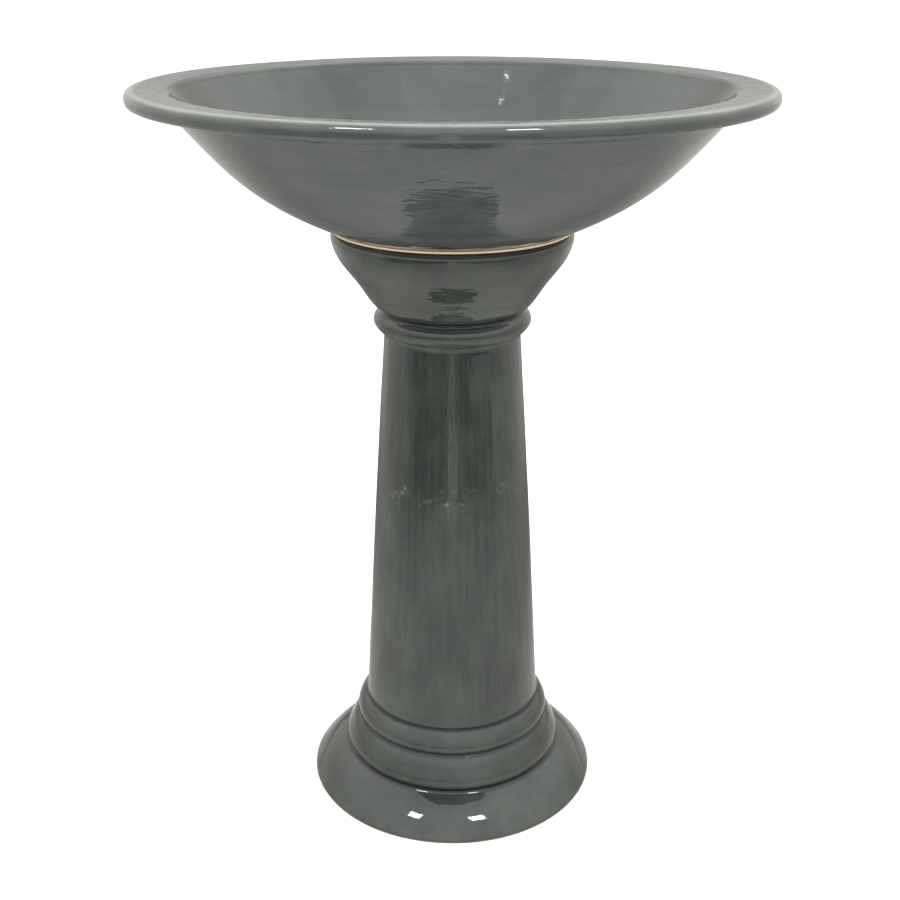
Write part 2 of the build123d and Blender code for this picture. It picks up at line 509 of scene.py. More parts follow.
    def relief(self, lie: Turning, shaft: Wire, gritty: Wire) -> Wire:
        """Fine relief of the surface: runs, turning rings, slow and fine unevenness, and grit.

        Args:
            lie: The piece's coordinates.
            shaft: 1 on the shaft, which has the runs, and 0 elsewhere, which has the slow unevenness.
            gritty: The grain of the bare clay.

        Returns:
            The normal.
        """
        kit = lie.kit
        lively = 1 - kit.layer(CALM_LAYER) * 0.95
        layers = [
            (kit.cloud(lie.around(3, 190), 1.0, 3.0, 0.55) * lively, self.rings),
            (kit.cloud(lie.around(40, 110), 1.0, 2.0, 0.5) * (1 - shaft) * lively, self.swell),
            (kit.cloud(lie.where, 260.0, 2.0, 0.5) * lively, self.peel),
            (gritty, self.grit),
        ]
        if self.drips:
            layers.insert(0, (kit.cloud(lie.upright(), 0.8, 4.0, 0.6) * shaft, self.drips))
        normal = None
        for height, depth in layers:
            normal = kit.bump(height, depth, normal)
        return normal

    def rub_marks(self, lie: Turning) -> Wire | float:
        """Pale scuffs round the front at one height.

        Args:
            lie: The piece's coordinates.

        Returns:
            A mask, 0 on clean glaze and 1 on a scuff.
        """
        if self.rub_height is None:
            return 0.0
        kit = lie.kit
        drift = kit.cloud(kit.joined(lie.across, lie.deep, lie.up * 0), 45.0, 2.0, 0.5)
        band = abs(lie.up - self.rub_height + (drift - 0.5) * 0.03).stepped(0.011, 0.003)
        front = lie.deep.stepped(-0.030, -0.052)
        patches = kit.cloud(lie.where, 60.0, 4.0, 0.7).stepped(0.50, 0.61)
        scratches = kit.cloud(kit.scaled(lie.where, (1, 1, 0.35)), 380.0, 4.0, 0.75).stepped(0.42, 0.62)
        return band * front * patches * scratches


@dataclass(frozen=True)
class Rubber:
    """Soft black rubber of the bumper pads.

    Attributes:
        colour: Colour of the clean rubber.
        dust: Colour of the dust on it.
        grit: Depth of its grain.
    """

    colour: Colour = (0.012, 0.012, 0.013, 1.0)
    dust: Colour = (0.06, 0.055, 0.048, 1.0)
    grit: float = 0.00006

    def material(self, name: str) -> bpy.types.Material:
        """Make the rubber's material.

        Args:
            name: The material's name.

        Returns:
            The material.
        """
        kit = ShaderKit(name)
        where = kit.place()
        dusty = kit.cloud(where, 260.0, 4.0, 0.6).stepped(0.45, 0.8)
        grain = kit.cloud(where, 3000.0, 2.0, 0.6)
        return kit.surface(
            Base_Color=kit.blend(dusty * 0.7, self.colour, self.dust),
            Roughness=0.62 + dusty * 0.25,
            Normal=kit.bump(grain, self.grit),
        )


# --------------------------------------------------------------------------------------------------
# Turned pieces
# --------------------------------------------------------------------------------------------------


class Side(Enum):
    """What covers a stretch of a section."""

    GLAZED = "glazed"
    BARE = "bare"
    BASIN = "smooth glaze"


@dataclass
class Section:
    """Half section of a turned piece, drawn with its solid on the left of its direction.

    Attributes:
        start: Its first point.
        spacing: Usual distance between points.
        side: What covers the stretch being drawn.
        points: (radius, height) of each point.
        sides: What covers each point.
        crests: Where the glaze breaks pale and a highlight is painted, and how far to each side.
        grooves: Where it pools dark, and how far to each side.
    """

    start: Point
    spacing: float = 0.0022
    side: Side = Side.GLAZED
    points: list[Point] = field(default_factory=list)
    sides: list[Side] = field(default_factory=list)
    crests: list[tuple[Point, float]] = field(default_factory=list)
    grooves: list[tuple[Point, float]] = field(default_factory=list)

    def __post_init__(self) -> None:
        """Put the first point down."""
        self.put(self.start)

    def put(self, point: Point) -> None:
        """Add one point."""
        self.points.append((float(point[0]), float(point[1])))
        self.sides.append(self.side)

    def cover(self, side: Side) -> Section:
        """Change what covers the stretches that follow."""
        self.side = side
        return self

    def spaced(self, spacing: float) -> Section:
        """Change the distance between the points that follow."""
        self.spacing = spacing
        return self

    def crest(self, where: Point, reach: float) -> Section:
        """Let the glaze break pale near a point, and paint a highlight there."""
        self.crests.append((where, reach))
        return self

    def groove(self, where: Point, reach: float) -> Section:
        """Let the glaze pool dark near a point."""
        self.grooves.append((where, reach))
        return self

    @staticmethod
    def near(point: Point, marks: Sequence[tuple[Point, float]]) -> float:
        """How near a point lies to the nearest mark.

        Args:
            point: The point.
            marks: Where each mark is, and how far it reaches.

        Returns:
            1 on a mark, and 0 far off.
        """
        return max((math.exp(-((math.dist(point, at) / reach) ** 2)) for at, reach in marks), default=0.0)

    def breaks(self) -> list[float]:
        """Share of the pale break and the painted highlight at each point."""
        return [self.near(point, self.crests) for point in self.points]

    def covered(self, side: Side) -> list[float]:
        """1 at each point that this covers, and 0 elsewhere."""
        return [float(found is side) for found in self.sides]

    def line(self, end: Point) -> Section:
        """Draw a straight stretch.

        Args:
            end: Where it ends.

        Returns:
            This section.
        """
        begin = Vector(self.points[-1])
        steps = max(1, round((Vector(end) - begin).length / self.spacing))
        for step in range(1, steps + 1):
            self.put(tuple(begin.lerp(Vector(end), step / steps)))
        return self

    def curve(self, *through: Point, leave: Point | None = None, arrive: Point | None = None) -> Section:
        """Draw a smooth curve from the last point.

        Args:
            *through: Points that it passes, the last of which is its end.
            leave: Direction at its start, or None to leave it free.
            arrive: Direction at its end, or None to leave it free.

        Returns:
            This section.
        """
        knots = np.array([self.points[-1], *through], float)
        chords = np.hypot(*np.diff(knots, axis=0).T)
        at = np.concatenate([[0.0], np.cumsum(chords)])
        slopes = self.slopes(knots, at, leave, arrive)
        for i, chord in enumerate(chords):
            steps = max(2, round(chord / self.spacing))
            for step in range(1, steps + 1):
                t = step / steps
                a = (1 + 2 * t) * (1 - t) ** 2 * knots[i] + t * t * (3 - 2 * t) * knots[i + 1]
                b = t * (1 - t) ** 2 * chord * slopes[i] - t * t * (1 - t) * chord * slopes[i + 1]
                self.put(tuple(a + b))
        return self

    @staticmethod
    def slopes(knots: np.ndarray, at: np.ndarray, leave: Point | None, arrive: Point | None) -> np.ndarray:
        """Directions at the knots that make the curve's bend continuous.

        Args:
            knots: The points passed.
            at: Distance of each along the chords.
            leave: Direction at the start, or None.
            arrive: Direction at the end, or None.

        Returns:
            One direction for each knot, per metre of chord.
        """
        count = len(knots)
        matrix = np.zeros((count, count))
        right = np.zeros((count, 2))
        gap = np.diff(at)
        rise = np.diff(knots, axis=0) / gap[:, None]
        for i in range(1, count - 1):
            matrix[i, i - 1 : i + 2] = (gap[i], 2 * (gap[i - 1] + gap[i]), gap[i - 1])
            right[i] = 3 * (gap[i] * rise[i - 1] + gap[i - 1] * rise[i])
        for row, inner, given, chord in ((0, 1, leave, rise[0]), (count - 1, count - 2, arrive, rise[-1])):
            matrix[row, row] = 1 if given else 2
            if given:
                right[row] = np.array(given, float) / math.hypot(*given)
            else:
                matrix[row, inner] = 1
                right[row] = 3 * chord
        return np.linalg.solve(matrix, right)

    def corner(self, tip: Point, beyond: Point, radius: float) -> Section:
        """Draw a straight stretch towards tip, and turn the corner there towards beyond.

        Args:
            tip: The sharp corner that the rounding replaces.
            beyond: A point past the corner, which gives the new direction.
            radius: Radius of the rounding.

        Returns:
            This section.
        """
        tip_at = Vector(tip)
        back = (Vector(self.points[-1]) - tip_at).normalized()
        on = (Vector(beyond) - tip_at).normalized()
        half = back.angle(on) / 2
        reach = radius / math.tan(half)
        self.line(tuple(tip_at + back * reach))
        middle = tip_at + (back + on).normalized() * (radius / math.sin(half))
        first = tip_at + back * reach - middle
        last = tip_at + on * reach - middle
        turn = first.angle_signed(last)
        steps = max(4, round(abs(turn) * radius / (self.spacing * 0.45)))
        for step in range(1, steps + 1):
            spoke = first.copy()
            spoke.rotate(Matrix.Rotation(-turn * step / steps, 2))
            self.put(tuple(middle + spoke))
        return self

    def flow(self, reach: float = 0.0032) -> list[float]:
        """How the glaze lies at each point.

        Args:
            reach: Distance over which the section's bend is felt.

        Returns:
            About 1 on a tight outward edge, 0 on a flat stretch, and -1 in a groove.
        """
        points = np.array(self.points)
        steps = np.diff(points, axis=0)
        heading = np.unwrap(np.arctan2(steps[:, 1], steps[:, 0]))
        turn = np.concatenate([[0.0], np.diff(heading), [0.0]])
        along = np.concatenate([[0.0], np.cumsum(np.hypot(*steps.T))])
        found = []
        for here, point in zip(along, self.points):
            weight = np.exp(-(((along - here) / reach) ** 2))
            bend = float(np.tanh((turn * weight).sum() * 1.25))
            found.append(max(-1.0, max(-0.25, bend) - 1.6 * self.near(point, self.grooves)))
        return found


@dataclass(frozen=True)
class Unevenness:
    """Slight irregularity of a hand-finished turned piece.

    Attributes:
        depth: Deepest dip of the surface.
        grain: Number of waves per metre.
        seed: Where in the noise it is taken.
    """

    depth: float = 0.00035
    grain: float = 16.0
    seed: float = 3.7

    def apply(self, mesh: bmesh.types.BMesh) -> None:
        """Sink every point of a mesh a little along its normal, never outward.

        Args:
            mesh: The mesh, changed in place.
        """
        mesh.normal_update()
        shift = Vector((self.seed, self.seed * 2, self.seed * 3))
        moves = []
        for vert in mesh.verts:
            where = Vector((vert.co.x, vert.co.y, vert.co.z * 1.5)) * self.grain + shift
            dip = self.depth * (0.5 + 0.5 * noise.noise(where))
            moves.append((vert, vert.normal * dip))
        for vert, move in moves:
            vert.co -= move


def turned(name: str, section: Section, steps: int, unevenness: Unevenness) -> bpy.types.Object:
    """Turn a half section into a piece.

    Args:
        name: The piece's name.
        section: Its closed or pole-to-pole half section.
        steps: Number of facets round it.
        unevenness: Its irregularity.

    Returns:
        The piece's object, at the origin.
    """
    told = {
        FLOW_LAYER: section.flow(),
        BARE_LAYER: section.covered(Side.BARE),
        CALM_LAYER: section.covered(Side.BASIN),
        BREAK_AND_SHEEN_LAYER: section.breaks(),
    }
    mesh = bmesh.new()
    for layer in told:
        mesh.verts.layers.float.new(layer)
    ring = [mesh.verts.new((radius, 0.0, height)) for radius, height in section.points]
    for layer, values in told.items():
        key = mesh.verts.layers.float[layer]
        for vert, value in zip(ring, values):
            vert[key] = value
    edges = [mesh.edges.new(pair) for pair in zip(ring, ring[1:])]
    bmesh.ops.spin(
        mesh, geom=ring + edges, cent=(0, 0, 0), axis=(0, 0, 1), angle=math.tau, steps=steps, use_merge=True
    )
    bmesh.ops.remove_doubles(mesh, verts=mesh.verts, dist=1e-6)
    bmesh.ops.recalc_face_normals(mesh, faces=mesh.faces)
    unevenness.apply(mesh)
    for face in mesh.faces:
        face.smooth = True
    data = bpy.data.meshes.new(name)
    mesh.to_mesh(data)
    mesh.free()
    piece = bpy.data.objects.new(name, data)
    bpy.context.scene.collection.objects.link(piece)
    return piece


def dress(piece: bpy.types.Object, body: str, material: bpy.types.Material) -> None:
    """Give a piece its material, its body and its slot, and report it.

    Args:
        piece: The new piece, or a CAD node, which is on its body already.
        body: The body that it moves with.
        material: Its finish.
    """
    piece.data.materials.clear()
    piece.data.materials.append(material)
    if "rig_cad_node" not in piece:
        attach(piece, body)
    low, high = (Vector(corner) for corner in (piece.bound_box[0], piece.bound_box[6]))
    LOG.info("%s rides %s, %d faces, from %s to %s", piece.name, body, len(piece.data.polygons), low, high)


def share(start: Point, end: Point, across: float, up: float) -> Point:
    """Point between two others.

    Args:
        start: The first.
        end: The second.
        across: Share of the way to the second, across.
        up: Share of the way to the second, upwards.

    Returns:
        The point.
    """
    return (start[0] + across * (end[0] - start[0]), start[1] + up * (end[1] - start[1]))


# --------------------------------------------------------------------------------------------------
# Pedestal
# --------------------------------------------------------------------------------------------------


@dataclass
class Pedestal:
    """Hollow cast pedestal: foot plate, two mouldings, shaft, neck ring and flared capital.

    Heights are counted from the ground, and the seat's height and the foot's radius come from the frame.

    Attributes:
        lower_groove: Deepest point of the groove over the foot plate.
        lower_belly: Widest point of the lower moulding.
        upper_groove: Deepest point of the groove between the mouldings.
        upper_belly: Widest point of the upper moulding.
        shaft_bottom: Where the shaft leaves the upper moulding.
        shaft_top: Where the shaft meets the cove under the neck ring.
        shaft_swell: How far the shaft's middle stands out from straight.
        cove_top: Where the cove meets the neck ring.
        collar_belly: Widest point of the neck ring.
        collar_groove: Deepest point of the groove over the neck ring.
        lip_radius: Radius of the capital's lip.
        shoulder: Size of the rounding between the lip and the seat.
        seat_width: Width of the flat seat.
        flare: Shares across and up that the capital passes between the groove and the lip.
        mouth_depth: Depth of the straight mouth below the seat.
        wall: Thickness of the wall.
        foot_width: Width of the ring that stands on the ground.
        foot_edge: Size of the bare edge at the ground, across and up.
        groove_round: Half the width of a groove.
        hollow_spacing: Distance between the section's points inside.
        steps: Number of facets round it.
        glaze: Its finish.
        unevenness: Its irregularity.
    """

    lower_groove: Point = (0.0988, 0.0306)
    lower_belly: Point = (0.0998, 0.0356)
    upper_groove: Point = (0.0864, 0.0600)
    upper_belly: Point = (0.0885, 0.0638)
    shaft_bottom: Point = (0.0798, 0.0826)
    shaft_top: Point = (0.0584, 0.4258)
    shaft_swell: float = 0.0006
    cove_top: Point = (0.0599, 0.4324)
    collar_belly: Point = (0.0669, 0.4433)
    collar_groove: Point = (0.0610, 0.4514)
    lip_radius: float = 0.1008
    shoulder: float = 0.0045
    seat_width: float = 0.0135
    flare: tuple[Point, Point] = ((0.46, 0.378), (0.925, 0.812))
    mouth_depth: float = 0.0190
    wall: float = 0.0110
    foot_width: float = 0.0150
    foot_edge: Point = (0.0005, 0.0022)
    groove_round: float = 0.0014
    hollow_spacing: float = 0.0055
    steps: int = 224
    glaze: Glaze = Glaze(rub_height=0.303, clay=(0.10, 0.072, 0.048, 1.0), clay_dark=(0.04, 0.03, 0.022, 1.0))
    unevenness: Unevenness = Unevenness()

    def outline(self) -> Section:
        """Draw the closed half section, up the outside and down the inside.

        Returns:
            The section.
        """
        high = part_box("pedestal")[1]
        foot_radius, seat = high.x, high.z
        lip = (self.lip_radius, seat - self.shoulder)
        mouth = self.lip_radius - self.shoulder - self.seat_width
        plate_edge = (foot_radius - self.foot_edge[0], self.foot_edge[1])
        middle = share(plate_edge, self.lower_groove, 0.47, 0.53)
        shaft_middle = share(self.shaft_bottom, self.shaft_top, 0.5, 0.5)
        inner_shaft_top = (self.shaft_top[0] - self.wall, self.shaft_top[1])
        inner_shaft_bottom = (self.shaft_bottom[0] - self.wall, self.shaft_bottom[1])
        inner_foot = (foot_radius - self.foot_width, 0.0)
        draw = Section(start=inner_foot, side=Side.BARE)
        draw.groove(self.lower_groove, 0.0022).groove(self.upper_groove, 0.0019)
        draw.groove(self.shaft_bottom, 0.0014).groove(self.collar_groove, 0.0019)
        draw.corner((foot_radius, 0.0), plate_edge, 0.0007)
        draw.line((foot_radius - self.foot_edge[0] / 2, self.foot_edge[1] / 2)).cover(Side.GLAZED)
        draw.line(plate_edge)
        draw.curve(
            (middle[0] + 0.0004, middle[1] + 0.0005),
            (self.lower_groove[0], self.lower_groove[1] - self.groove_round),
        )
        over_groove = (self.lower_groove[0], self.lower_groove[1] + self.groove_round)
        draw.curve(over_groove, leave=(-0.6, 0.3), arrive=(0.6, 1))
        draw.curve(
            self.lower_belly,
            share(self.lower_belly, self.upper_groove, 0.26, 0.45),
            share(self.lower_belly, self.upper_groove, 0.59, 0.78),
            (self.upper_groove[0] + self.groove_round, self.upper_groove[1] - 0.0004),
            leave=(0.35, 1),
        )
        over_groove = (self.upper_groove[0] + 0.0005, self.upper_groove[1] + self.groove_round)
        draw.curve(over_groove, leave=(-1, 0.4), arrive=(0.8, 1))
        draw.curve(
            self.upper_belly,
            share(self.upper_belly, self.shaft_bottom, 0.34, 0.61),
            (self.shaft_bottom[0] + 0.0012, self.shaft_bottom[1] - 0.0012),
            leave=(0.8, 1),
            arrive=(-1.1, 1),
        )
        draw.curve((self.shaft_bottom[0] - 0.0002, self.shaft_bottom[1] + 0.0030), arrive=(-0.06, 1))
        draw.curve(
            (shaft_middle[0] + self.shaft_swell, shaft_middle[1]),
            (self.shaft_top[0], self.shaft_top[1] - 0.001),
            leave=(-0.06, 1),
        )
        draw.curve(self.cove_top, leave=(-0.05, 1), arrive=(1, 0.75))
        draw.curve(
            self.collar_belly,
            (self.collar_groove[0] + self.groove_round, self.collar_groove[1] - self.groove_round),
            leave=(1, 0.75),
            arrive=(-1, 0.7),
        )
        over_groove = (self.collar_groove[0] + self.groove_round, self.collar_groove[1] + self.groove_round)
        draw.curve(over_groove, leave=(-1, 0.5), arrive=(1, 0.8))
        draw.curve(
            *(share(self.collar_groove, lip, *shares) for shares in self.flare),
            lip,
            leave=(1, 0.8),
            arrive=(0.12, 1),
        )
        draw.curve((lip[0] - self.shoulder, seat), leave=(0, 1), arrive=(-1, 0))
        draw.corner((mouth, seat), (mouth, seat - self.mouth_depth), 0.0020)
        draw.cover(Side.BARE).spaced(self.hollow_spacing).line((mouth, seat - self.mouth_depth))
        draw.curve(
            (0.0690, 0.4810),
            (self.collar_groove[0] - self.wall, self.collar_groove[1]),
            inner_shaft_top,
            leave=(-0.5, -1),
            arrive=(0.06, -1),
        )
        draw.line(inner_shaft_bottom)
        draw.curve(
            (self.upper_groove[0] - self.wall, self.upper_groove[1]),
            (self.lower_groove[0] - self.wall, self.lower_groove[1]),
            inner_foot,
            leave=(0.06, -1),
            arrive=(0.5, -1),
        )
        return draw

    def build(self) -> None:
        """Turn the pedestal and dress it, and dress its pads."""
        piece = turned("pedestal_body", self.outline(), self.steps, self.unevenness)
        dress(piece, "pedestal", self.glaze.material("pedestal_glaze"))
        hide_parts("pedestal")
        pads = frame["nodes"]["bumper_pads"]
        dress(pads, "pedestal", Rubber().material("pad_rubber"))


# --------------------------------------------------------------------------------------------------
# Bowl
# --------------------------------------------------------------------------------------------------


@dataclass
class Bowl:
    """Wide shallow bowl with a rolled flange rim, a bare foot ring and a locating ring below.

    The rim's radius and height and the locating ring's foot come from the frame, and the height of the foot
    ring's underside is that of the pads' tops.

    Attributes:
        foot_radius: Outer radius of the foot ring.
        foot_ring: Height of the foot ring.
        bare_height: Height up to which the foot ring is bare.
        crest_reach: How far the pale break and the painted highlight run to each side of the rim's crest.
        wall: Thickness of the wall.
        flange_reach: Width of the flange, from the rim to the outer wall.
        flange_thickness: Thickness of the flange at the rim.
        flange_undercut: How far its underside falls towards the wall.
        flange_dish: Angle at which its top falls inwards, in degrees.
        nose_top: Radius of the rim's upper rounding.
        nose_bottom: Radius of the rim's lower rounding.
        root_round: Radius of the rounding where the wall meets the flange.
        inner_lip_round: Radius of the rounding where the flange meets the basin.
        wall_end: Direction of the wall at its top, as shares of its width and rise.
        wall_start: Direction of the wall at its foot, as shares of its width and rise.
        floor: Thickness of the floor.
        floor_drop: How far the floor's underside hangs below the foot ring, in the middle.
        floor_dish: How far the floor rises from its middle to the locating ring.
        ring_radius: Outer radius of the locating ring.
        ring_width: Width of the locating ring.
        ring_round: Radius of the roundings on both rings.
        steps: Number of facets round it.
        glaze: Its finish.
        unevenness: Its irregularity.
    """

    foot_radius: float = 0.1004
    foot_ring: float = 0.0021
    bare_height: float = 0.0013
    crest_reach: float = 0.0034
    wall: float = 0.0105
    flange_reach: float = 0.0322
    flange_thickness: float = 0.0114
    flange_undercut: float = 0.0060
    flange_dish: float = 3.5
    nose_top: float = 0.0058
    nose_bottom: float = 0.0046
    root_round: float = 0.0090
    inner_lip_round: float = 0.0080
    wall_end: Point = (1.0, 1.46)
    wall_start: Point = (1.0, 0.56)
    floor: float = 0.0110
    floor_drop: float = 0.0080
    floor_dish: float = 0.0050
    ring_radius: float = 0.0788
    ring_width: float = 0.0085
    ring_round: float = 0.0020
    steps: int = 288
    glaze: Glaze = Glaze(
        body=(0.034, 0.040, 0.038, 1.0),
        mottle=(0.049, 0.054, 0.050, 1.0),
        soil=-0.05,
        drips=0.0,
        rings=0.00001,
        swell=0.0005,
        peel=0.00003,
    )
    unevenness: Unevenness = Unevenness(depth=0.0004, grain=11.0, seed=8.2)

    def outline(self) -> Section:
        """Draw the half section from the underside's middle, round the rim, to the basin's middle.

        Returns:
            The section.
        """
        low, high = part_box("bowl")
        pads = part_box("bumper_pads")[1]
        rim, top, ring_foot, foot = high.x, high.z, low.z, pads.z
        crest = (rim - self.nose_top * 0.85, top)
        bore = self.ring_radius - self.ring_width
        slope = math.tan(math.radians(self.flange_dish))
        nose_lift = self.nose_top * (slope + math.hypot(1, slope) - 1)
        nose_high = (rim, top + nose_lift)
        nose_low = (rim, top - self.flange_thickness)
        root = (rim - self.flange_reach, nose_low[1] - self.flange_undercut)
        wall_start = (self.foot_radius, foot + self.foot_ring)
        width, rise = root[0] - wall_start[0], root[1] - wall_start[1]
        leave = (width * self.wall_start[0], rise * self.wall_start[1])
        arrive = (width * self.wall_end[0], rise * self.wall_end[1])
        up = Vector(arrive).normalized()
        side = Vector((-up.y, up.x))
        wall_top = tuple(Vector(root) - up * 0.0085)
        inner_top = Vector(root) + side * self.wall
        gap = nose_high[1] - (rim - inner_top.x) * slope - inner_top.y
        run = gap / (up.y / up.x - slope)
        inner_lip = (inner_top.x + run, inner_top.y + run * up.y / up.x)
        centre = (0.0, foot - self.floor_drop)
        ring_top = (bore, foot - self.floor_drop + self.floor_dish)
        shares = ((0.203, 0.121), (0.409, 0.271), (0.616, 0.472), (0.782, 0.683))
        outer = [share(wall_start, root, *pair) for pair in shares]
        # The rim's crest gets the pale glaze break and a painted highlight.
        draw = Section(start=centre).crest(crest, self.crest_reach)
        draw.curve((ring_top[0] - 0.003, ring_top[1] - 0.0004), leave=(1, 0), arrive=(1, 0.13))
        draw.corner(ring_top, (bore, ring_foot), self.ring_round)
        draw.cover(Side.BARE)
        draw.corner((bore, ring_foot), (self.ring_radius, ring_foot), self.ring_round)
        draw.corner((self.ring_radius, ring_foot), (self.ring_radius, foot), self.ring_round)
        draw.corner((self.ring_radius, foot), (self.foot_radius, foot), self.ring_round)
        draw.corner((self.foot_radius, foot), wall_start, 0.0005)
        draw.line((self.foot_radius, foot + self.bare_height)).cover(Side.GLAZED)
        draw.line(wall_start)
        draw.curve(*outer, wall_top, leave=leave, arrive=arrive)
        draw.corner(root, nose_low, self.root_round)
        draw.corner(nose_low, nose_high, self.nose_bottom)
        draw.corner(nose_high, inner_lip, self.nose_top)
        draw.corner(inner_lip, tuple(inner_top), self.inner_lip_round)
        draw.cover(Side.BASIN).line(tuple(inner_top))
        draw.curve(
            *self.basin(outer, wall_start, wall_top),
            (bore, centre[1] + self.floor + self.floor_dish),
            (0.0, centre[1] + self.floor),
            leave=(-arrive[0], -arrive[1]),
            arrive=(-1, 0),
        )
        return draw

    def basin(self, outer: Sequence[Point], first: Point, last: Point) -> list[Point]:
        """Points of the basin, a wall's thickness inside the outer wall, from the top down.

        Args:
            outer: Points that the outer wall passes, from the foot up.
            first: The outer wall's foot.
            last: The outer wall's top.

        Returns:
            The basin's points.
        """
        line = [Vector(point) for point in (first, *outer, last)]
        found = []
        for below, here, above in zip(line, line[1:], line[2:]):
            heading = ((here - below).normalized() + (above - here).normalized()).normalized()
            found.append(tuple(here + Vector((-heading.y, heading.x)) * self.wall))
        return found[::-1]

    def build(self) -> None:
        """Turn the bowl and dress it."""
        piece = turned("bowl_body", self.outline(), self.steps, self.unevenness)
        dress(piece, "bowl", self.glaze.material("bowl_glaze"))
        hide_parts("bowl")


# --------------------------------------------------------------------------------------------------
# Studio
# --------------------------------------------------------------------------------------------------


@dataclass(frozen=True)
class Softbox:
    """A rectangular area light aimed at the object.

    Attributes:
        name: Its name.
        place: Where it hangs.
        aim: The point it faces.
        size: Its width and height.
        power: Its power in watts.
    """

    name: str
    place: tuple[float, float, float]
    aim: tuple[float, float, float]
    size: tuple[float, float]
    power: float

    def hang(self) -> None:
        """Add the light to the scene."""
        light = bpy.data.lights.new(self.name, "AREA")
        light.shape = "RECTANGLE"
        light.size, light.size_y = self.size
        light.energy = self.power
        held = bpy.data.objects.new(self.name, light)
        held.location = self.place
        held.rotation_euler = (Vector(self.aim) - Vector(self.place)).to_track_quat("-Z", "Y").to_euler()
        bpy.context.scene.collection.objects.link(held)


@dataclass(frozen=True)
class Card:
    """A flat reflector that only gloss sees: it shows in reflections and lights nothing.

    Attributes:
        name: Its name.
        middle: Where its centre lies.
        size: Its length and width, or its diameter twice where it is round.
        glow: The light it gives off.
        round_shape: Whether it is a disc.
    """

    name: str
    middle: tuple[float, float, float]
    size: tuple[float, float]
    glow: Colour
    round_shape: bool = False

    def hang(self) -> None:
        """Add the card to the scene."""
        mesh = bmesh.new()
        if self.round_shape:
            bmesh.ops.create_circle(mesh, cap_ends=True, segments=96, radius=0.5)
        else:
            bmesh.ops.create_grid(mesh, x_segments=1, y_segments=1, size=0.5)
        bmesh.ops.scale(mesh, vec=(*self.size, 1.0), verts=mesh.verts)
        bmesh.ops.translate(mesh, vec=self.middle, verts=mesh.verts)
        data = bpy.data.meshes.new(self.name)
        mesh.to_mesh(data)
        mesh.free()
        data.materials.append(self.paint(ShaderKit(self.name)))
        card = bpy.data.objects.new(self.name, data)
        bpy.context.scene.collection.objects.link(card)
        card.visible_camera = False
        card.visible_diffuse = False
        card.visible_shadow = False
        card.visible_transmission = False

    def paint(self, kit: ShaderKit) -> bpy.types.Material:
        return self.glowing(kit, self.glow)

    @staticmethod
    def glowing(kit: ShaderKit, glow: Wire | Colour) -> bpy.types.Material:
        """Finish a material that glows and reflects nothing.

        Args:
            kit: The material's builder.
            glow: The light it gives off.

        Returns:
            The material.
        """
        return kit.surface(
            Base_Color=(0.0, 0.0, 0.0, 1.0),
            Roughness=1.0,
            Specular_IOR_Level=0.0,
            Emission_Color=glow,
            Emission_Strength=1.0,
        )


@dataclass(frozen=True)
class CeilingCard(Card):
    """A round ceiling light as gloss sees it, dimmer towards its edge.

    Attributes:
        edge: The light it gives off at its edge.
    """

    edge: Colour = (1.62, 1.80, 1.76, 1.0)

    def paint(self, kit: ShaderKit) -> bpy.types.Material:
        """Make the ceiling's material.

        Args:
            kit: The material's builder.

        Returns:
            The material.
        """
        across, deep, _ = kit.axes(kit.place())
        away = ((across - self.middle[0]) ** 2 + (deep - self.middle[1]) ** 2) ** 0.5
        return self.glowing(kit, kit.blend(away.stepped(0.0, self.size[0] / 2), self.glow, self.edge))


@dataclass(frozen=True)
class GroundCard(Card):
    """The ground as gloss sees it: dim behind, bright in front, with dark shapes farther off in front.

    Attributes:
        front: The light it gives off in front.
        side: The light it gives off to the left and right.
        far: The light that the dark shapes give off.
        far_edge: Distance in front of the pedestal where the dark begins.
    """

    front: Colour = (1.16, 1.15, 1.09, 1.0)
    side: Colour = (0.76, 0.75, 0.71, 1.0)
    far: Colour = (0.015, 0.018, 0.018, 1.0)
    far_edge: float = 1.07

    def paint(self, kit: ShaderKit) -> bpy.types.Material:
        """Make the ground's material.

        Args:
            kit: The material's builder.

        Returns:
            The material.
        """
        across, deep, _ = kit.axes(kit.place())
        ahead = deep.stepped(0.60, -0.30)
        away = (across ** 2 + deep ** 2) ** 0.5
        turn = kit.math("ARCTAN2", across, 0 - deep)
        left = turn.stepped(-1.35, -0.95) * turn.stepped(-0.05, -0.09)
        middle = turn.stepped(0.04, 0.08) * turn.stepped(0.54, 0.46)
        right = turn.stepped(0.48, 0.52) * turn.stepped(1.15, 1.05) * away.stepped(1.95, 1.85)
        bands = kit.cloud(kit.joined(turn * 9, turn * 0, turn * 0), 1.0, 3.0, 0.6).stepped(0.62, 0.46)
        edge = away.stepped(self.far_edge - 0.02, self.far_edge + 0.02)
        fade = away.stepped(self.far_edge - 0.45, self.far_edge - 0.09)
        dark = (left + middle + right) * (edge * 0.6 + fade * 0.4) * (bands * 0.2 + 0.8)
        colour = kit.blend(ahead, self.glow, self.front)
        colour = kit.blend(abs(across).stepped(0.30, 0.90), colour, self.side)
        return self.glowing(kit, kit.blend(dark, colour, self.far))


